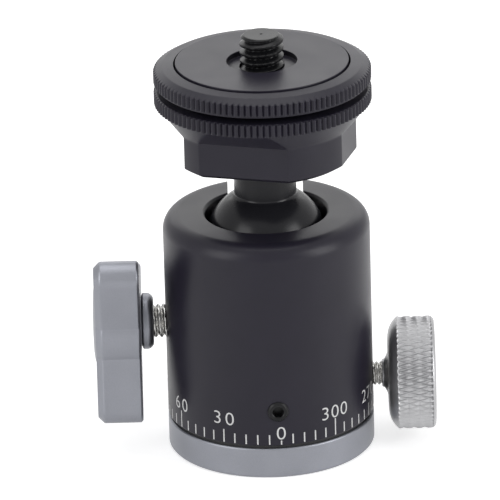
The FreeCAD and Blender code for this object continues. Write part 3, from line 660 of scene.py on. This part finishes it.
def lock_knob():
    """Three-winged knob: rows of the outline at (inset, depth) pairs, closed by circles, with
    the collar and the stud's hole turned on its inner side."""
    inner_side, first_wing = -18.6, math.radians(203)
    width, bevel, rise = 6.55, 0.9, 0.4
    outline = lobed_outline()
    angle = np.arctan2(outline[:, 1], outline[:, 0])
    circle = np.stack([np.cos(angle), np.sin(angle)], -1)
    collar = eased([(2.52, 0), (2.52, -1.85), (3.5, -1.85, 0.45), (4.1, -1.25, 0.45),
                    (4.1, -0.3, 0.15), (3.6, -0.12, 0.05), (3.6, 0, 0.02)], ring=False, steps=5)
    edge = eased([(0.6, 0), (0.3, 0, 0.1), (0, 0.3, 0.1), (0, width - bevel, 0.2),
                  (bevel, width, 0.2), (1.1, width)], ring=False, steps=4)
    crown = eased([(6.0, width, 0.05), (5.5, width + 0.18, 0.3), (4.4, width + 0.33, 0.4),
                   (2.5, width + rise, 0.5), (0.05, width + rise)], ring=False, steps=5)
    loops = [(circle * radius, depth) for radius, depth in collar]
    loops += [(moved_in(outline, inset), depth) for inset, depth in stepped(edge, 1.2, ring=False)]
    loops += [(circle * radius, depth) for radius, depth in crown]
    rows = [np.column_stack([loop, np.full(len(loop), depth)]) for loop, depth in loops]
    points = facing(np.stack(rows), (inner_side, 0, LOCK_HEIGHT), (-1, 0, 0),
                    (0, math.sin(first_wing), math.cos(first_wing)))
    shown("lock_knob_winged", closed_mesh("lock_knob_winged", points, sharp=28), "lock_knob",
          "anodised_grey", "lock_knob")


def lock_stud():
    """M5 stud from the wedge into the knob."""
    radius, low, high = 2.5, 9.7, 21.85
    corners = [(2.2, 9.4), (radius, low, 0), (radius, high, 0)]
    profile = stepped(eased(corners, ring=False), 0.09, ring=False)
    points = turned(profile, 72, screw_thread(radius, 0.44, 0.8, low, high))
    shown("lock_stud_thread",
          closed_mesh("lock_stud_thread", facing(points, (0, 0, LOCK_HEIGHT), (-1, 0, 0))),
          "lock_knob", "steel", "lock_stud")


# Pan lock at +X


def pan_knob():
    """Round knob: hub, domed faces and a band of diamond knurl."""
    inner_side, bore, radius, dish = 16.3, 1.77, 8.2, 7.65
    around = 54
    face = [(3.3 + 4.6 * t, 0.85 + 1.15 * t**4, 0) for t in np.linspace(0, 1, 14)]
    rim = arc((7.4, 6.95), 0.8, 0, 90, 8)
    corners = [(bore, 5), (bore, 0), (2.0, 0), (2.1, 0.35, 0.2), (2.75, 0.72, 0.3)] + face + [
        (8.0, 2.1, 0), (radius, 2.3, 0.1)] + rim + [(3.2, 7.75, 0), (3.0, dish), (0.05, dish)]
    profile = stepped(eased(corners, ring=False), 0.12, ring=False)
    knurl = diamond_knurl(radius, depth=0.38, around=around, length=3.07, low=2.2, high=7.3)
    points = facing(turned(profile, 12 * around, knurl), (inner_side, 0, PAN_HEIGHT), (1, 0, 0))
    shown("pan_lock_knob_knurled", closed_mesh("pan_lock_knob_knurled", points, sharp=60),
          "pan_knob", "bright_aluminium", "pan_lock_knob")


def pan_stud():
    """M3.5 stud of the pan lock."""
    radius, low, high = 1.75, 11.85, 20.75
    corners = [(1.55, 11.65), (radius, low, 0), (radius, high, 0)]
    profile = stepped(eased(corners, ring=False), 0.07, ring=False)
    points = turned(profile, 64, screw_thread(radius, 0.3, 0.6, low, high))
    shown("pan_lock_stud_thread",
          closed_mesh("pan_lock_stud_thread", facing(points, (0, 0, PAN_HEIGHT), (1, 0, 0))),
          "pan_knob", "steel", "pan_lock_stud")


# Ball and platform


def ball():
    """Ball and neck: the arc of the ball from its lowest point to the neck, a small fillet,
    the neck and the spigot inside the block."""
    radius, neck, spigot, shoulder = 9.0, 4.5, 3.5, 44.48
    arc_end = math.degrees(math.acos(4.62 / radius))
    corners = arc((0, BALL_HEIGHT), radius, -89.6, arc_end, 60)
    corners += [(neck, 38.75, 0.1), (neck, shoulder), (spigot, shoulder, 0), (spigot, 49.88)]
    profile = stepped(eased(corners, ring=False), 0.9, ring=False)
    shown("ball_and_neck", closed_mesh("ball_and_neck", turned(profile, 192)), "ball",
          "ball_black", "ball_stem")


# The block's flats as (distance from the axis, direction in degrees), and the two knurled rims

FLATS = ((11.6, -105), (11.5, 180), (12.8, -17), (11.6, 90))
RIM = 15.7
TEETH = 110
TOOTH_DEPTH = 0.34


def platform_block():
    """Black block: a turned profile whose radius is kept inside four planes that stand upright,
    lean out above their break line and come in at the foot, and inside the knurl's teeth."""
    socket, body, boss, screw_hole = 3.56, 13.35, 10.0, 3.07
    low, foot, socket_top, break_line = 44.5, 45.2, 49.9, 50.0
    shelf, boss_top, foot_slope = 54.93, 57.48, 1.57
    corners = [(socket, socket_top, 0), (socket, low, 0), (12.25, low), (body, foot),
               (body, break_line, 0.2), (15.0, 52.82, 0.12), (RIM, 53.0, 0.05),
               (RIM, 54.76, 0.05), (15.35, shelf), (boss, shelf, 0.1), (boss, boss_top),
               (screw_hole, boss_top, 0), (screw_hole, socket_top, 0)]
    profile = stepped(eased(corners), 0.3)
    teeth = straight_knurl(RIM, TOOTH_DEPTH, TEETH)

    def shape(angle, radius, height):
        lean = np.maximum(height - break_line, 0) - np.maximum(foot - height, 0) * foot_slope
        side = (height < 52.81) & (radius > 9.0)
        for away, turn in FLATS:
            facing_it = np.cos(angle - math.radians(turn))
            flat = (away + lean) / np.maximum(facing_it, 0.1)
            radius = np.where(side & (facing_it > 0.3), np.minimum(radius, flat), radius)
        return teeth(angle, radius, height)

    points = turned(profile, TEETH * 8, shape)
    shown("platform_block", closed_mesh("platform_block", points, True, 24), "head",
          "anodised_black", "head_block")


def lock_ring():
    """The upper knurled ring with its bevelled top."""
    bore, skirt, low, recess = 10.06, 15.3, 55.85, 57.44
    corners = [(bore, low), (skirt, low), (skirt, 56.2, 0.05), (RIM, 56.22, 0.05),
               (RIM, 57.8, 0.05), (14.4, 58.5, 0.12), (12.75, 58.77), (12.7, recess),
               (bore, recess)]
    profile = stepped(eased(corners), 0.4)
    points = turned(profile, TEETH * 8, straight_knurl(RIM, TOOTH_DEPTH, TEETH))
    shown("lock_ring_knurled", closed_mesh("lock_ring_knurled", points, True, 30), "lock_ring",
          "anodised_black", "lock_ring")


def top_disc():
    """The disc the camera sits on, with its recess."""
    bore, recess, outer = 3.24, 5.1, 12.5
    low, floor_up, top = 57.5, 58.2, 59.0
    corners = [(bore, low), (outer, low), (outer, top), (recess, top), (recess, floor_up),
               (bore, floor_up)]
    profile = stepped(eased(corners), 0.8)
    shown("top_disc_turned", closed_mesh("top_disc_turned", turned(profile), True), "head",
          "anodised_black", "top_disc")


def camera_screw():
    """Quarter inch screw, 20 turns to the inch, with a lead cone and a centre mark."""
    radius, core, low, cone_end, top = QUARTER_INCH_RADIUS, 2.4, 57.0, 62.98, 63.0
    corners = [(core, 43.0), (core, low), (radius, low), (radius, 62.4), (2.56, cone_end),
               (core, top), (0.22, top), (0.03, 62.85)]
    profile = stepped(np.array(corners), 0.07, ring=False)
    thread = screw_thread(radius, 0.72, QUARTER_INCH_PITCH, low, cone_end)
    points = turned(profile, 120, thread)
    shown("camera_screw_thread", closed_mesh("camera_screw_thread", points, sharp=40), "head",
          "black_steel", "camera_screw")


def inner_pieces():
    """CAD nodes that keep their own shape get their finishes."""
    slots = {row["node"]: row["material_slot"] for row in frame["record"]["subparts"]}
    for name in ("pan_spindle", "retaining_clip", "thrust_washer", "body_plug", "disc_spring",
                 "ball_seat", "lock_wedge", "pan_lock_pad"):
        data = frame["nodes"][name].data
        data.materials.clear()
        data.materials.append(FINISHES[slots[name]])


# Camera, lights and floor

PHOTO = 500
FOCUS_PIXELS = 8197.0
SENSOR = 36.0
DISTANCE = 1.2
DOWN = math.radians(23.2)
ROLL = math.radians(1.55)
ORIGIN_PIXEL = (272.0, 437.5)

WORLD_LIGHT = 0.3
FLOOR_GLOW = 0.55

# Soft boxes: name, place, target and size in metres, and watts

LAMPS = [
    ("left_box", (-0.45, -0.35, 0.25), (0, 0, 0.03), (0.3, 0.5), 1.7),
    ("right_box", (0.5, -0.25, 0.2), (0, 0, 0.03), (0.25, 0.45), 2.0),
    ("top_box", (0.0, 0.05, 0.55), (0, 0, 0.04), (0.4, 0.4), 1.0),
    ("back_box", (0.0, 0.8, 0.42), (0, 0, 0.04), (1.0, 0.4), 1.35),
]


def camera():
    """The fitted camera: it looks down at the part from the front, rolled a little, and is
    turned so that the photograph's middle is on its axis."""
    right = np.array([1.0, 0, 0])
    up = np.array([0, math.sin(DOWN), math.cos(DOWN)])
    ahead = np.array([0, math.cos(DOWN), -math.sin(DOWN)])
    place = -DISTANCE * ahead
    right, up = (math.cos(ROLL) * right - math.sin(ROLL) * up,
                 math.sin(ROLL) * right + math.cos(ROLL) * up)
    half = PHOTO / 2
    aim = ahead + right * (half - ORIGIN_PIXEL[0]) / FOCUS_PIXELS
    aim = aim + up * (ORIGIN_PIXEL[1] - half) / FOCUS_PIXELS
    aim = aim / np.linalg.norm(aim)
    up = up - np.dot(up, aim) * aim
    up = up / np.linalg.norm(up)
    side = np.cross(aim, up)
    data = bpy.data.cameras.new("photo_camera")
    data.sensor_width = SENSOR
    data.lens = FOCUS_PIXELS * SENSOR / PHOTO
    data.clip_start, data.clip_end = 0.1, 20.0
    holder = bpy.data.objects.new("photo_camera", data)
    rows = np.eye(4)
    rows[:3, 0], rows[:3, 1], rows[:3, 2], rows[:3, 3] = side, up, -aim, place
    holder.matrix_world = Matrix(rows.tolist())
    bpy.context.scene.collection.objects.link(holder)
    bpy.context.scene.camera = holder


def lamp(name, place, target, size, watts):
    """A soft box lamp aimed at a point."""
    data = bpy.data.lights.new(name, "AREA")
    data.shape = "RECTANGLE"
    data.size, data.size_y = size
    data.energy = watts
    holder = bpy.data.objects.new(name, data)
    holder.location = place
    aim = Vector(target) - Vector(place)
    holder.rotation_euler = aim.to_track_quat("-Z", "Y").to_euler()
    bpy.context.scene.collection.objects.link(holder)


def backdrop_share(tree):
    """1 for the rays that show the surroundings: the camera's, reflections and glass."""
    path = tree.nodes.new("ShaderNodeLightPath")
    share = path.outputs["Is Camera Ray"]
    for name in ("Is Glossy Ray", "Is Transmission Ray"):
        more = tree.nodes.new("ShaderNodeMath")
        more.operation = "MAXIMUM"
        tree.links.new(share, more.inputs[0])
        tree.links.new(path.outputs[name], more.inputs[1])
        share = more.outputs[0]
    return share


def studio():
    """White surroundings as the camera and reflections see them, softer light on the part."""
    world = bpy.data.worlds.new("studio")
    bpy.context.scene.world = world
    world.use_nodes = True
    tree = world.node_tree
    back = tree.nodes["Background"]
    mix = tree.nodes.new("ShaderNodeMix")
    mix.inputs[2].default_value = WORLD_LIGHT
    mix.inputs[3].default_value = 1.0
    tree.links.new(backdrop_share(tree), mix.inputs[0])
    tree.links.new(mix.outputs[0], back.inputs["Strength"])
    back.inputs["Color"].default_value = (1, 1, 1, 1)
    for row in LAMPS:
        lamp(*row)


def floor():
    """A plain white floor under the foot."""
    paint = Paint("floor")
    grain = paint.noise(0.02, 1.0)
    paint.finish(paint.blend(grain, (0.82, 0.82, 0.82), (0.85, 0.85, 0.85)), 0.7, 0.0)
    paint.feed(paint.shader.inputs["Emission Color"], (1, 1, 1, 1))
    glow = Value(paint, backdrop_share(paint.tree)) * FLOOR_GLOW
    paint.feed(paint.shader.inputs["Emission Strength"], glow)
    side, low = 1500.0, -0.05
    spots = np.array([(-side, -side, low), (side, -side, low), (side, side, low),
                      (-side, side, low)])
    mesh = mesh_of("floor", spots, [[0, 1, 2, 3]], 30)
    mesh.materials.append(paint.material)
    thing = bpy.data.objects.new("floor", mesh)
    bpy.context.scene.collection.objects.link(thing)


for make in (base_plate, base_screws, thread_bush, housing, scale_marks, scale_numbers,
             friction_screw, lock_knob, lock_stud, pan_knob, pan_stud, ball, platform_block,
             lock_ring, top_disc, camera_screw, inner_pieces, camera, studio, floor):
    make()

bpy.context.scene.view_settings.view_transform = "Standard"
